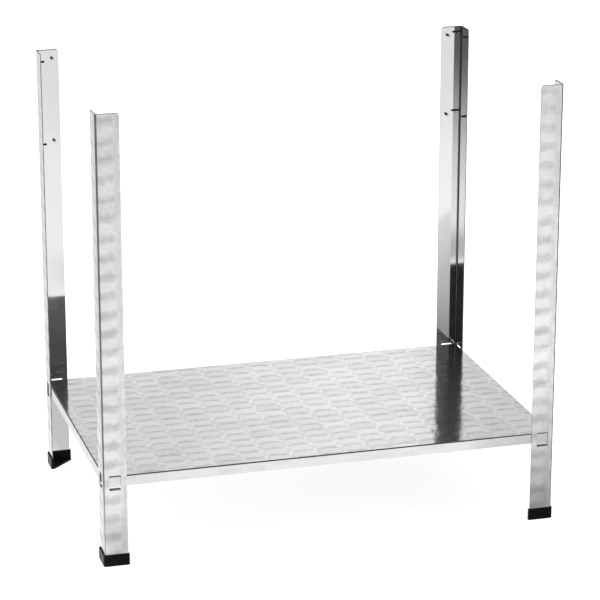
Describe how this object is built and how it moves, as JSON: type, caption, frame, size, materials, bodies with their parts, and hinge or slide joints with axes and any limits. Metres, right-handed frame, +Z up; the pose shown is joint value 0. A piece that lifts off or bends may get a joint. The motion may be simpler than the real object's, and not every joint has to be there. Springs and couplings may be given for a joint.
{
  "type": "griddle stand",
  "caption": "Knock-down griddle stand: engine-turned steel angle legs on black foot caps, a lipped shelf hooked onto their tongues, and weld studs at the top for the griddle.",
  "frame": {"origin": "on the floor, at the middle of the plan", "axes": "+X to the right along the width, +Y to the back, +Z up; the front faces -Y"},
  "size_m": [0.8044, 0.5194, 0.78],
  "materials": {
    "engine_turned_steel": "engine-turned outside, polished inside",
    "stud_steel": "plain bright",
    "foot_plastic": "matte black"
  },
  "bodies": {
    "shelf_body": {"shelf": "engine_turned_steel"},
    "front_left_leg_body": {"leg_front_left": "engine_turned_steel", "weld_studs_front_left": "stud_steel", "foot_front_left": "foot_plastic"},
    "front_right_leg_body": {"leg_front_right": "engine_turned_steel", "weld_studs_front_right": "stud_steel", "foot_front_right": "foot_plastic"},
    "back_left_leg_body": {"leg_back_left": "engine_turned_steel", "weld_studs_back_left": "stud_steel", "foot_back_left": "foot_plastic"},
    "back_right_leg_body": {"leg_back_right": "engine_turned_steel", "weld_studs_back_right": "stud_steel", "foot_back_right": "foot_plastic"}
  },
  "joints": [
    {"name": "front_left_leg_unhook", "type": "slide", "parent": "shelf_body", "child": "front_left_leg_body", "axis": [0, 0, -1], "range_m": [0, 0.0168]},
    {"name": "front_right_leg_unhook", "type": "slide", "parent": "shelf_body", "child": "front_right_leg_body", "axis": [0, 0, -1], "range_m": [0, 0.0168]},
    {"name": "back_left_leg_unhook", "type": "slide", "parent": "shelf_body", "child": "back_left_leg_body", "axis": [0, 0, -1], "range_m": [0, 0.0168]},
    {"name": "back_right_leg_unhook", "type": "slide", "parent": "shelf_body", "child": "back_right_leg_body", "axis": [0, 0, -1], "range_m": [0, 0.0168]}
  ]
}
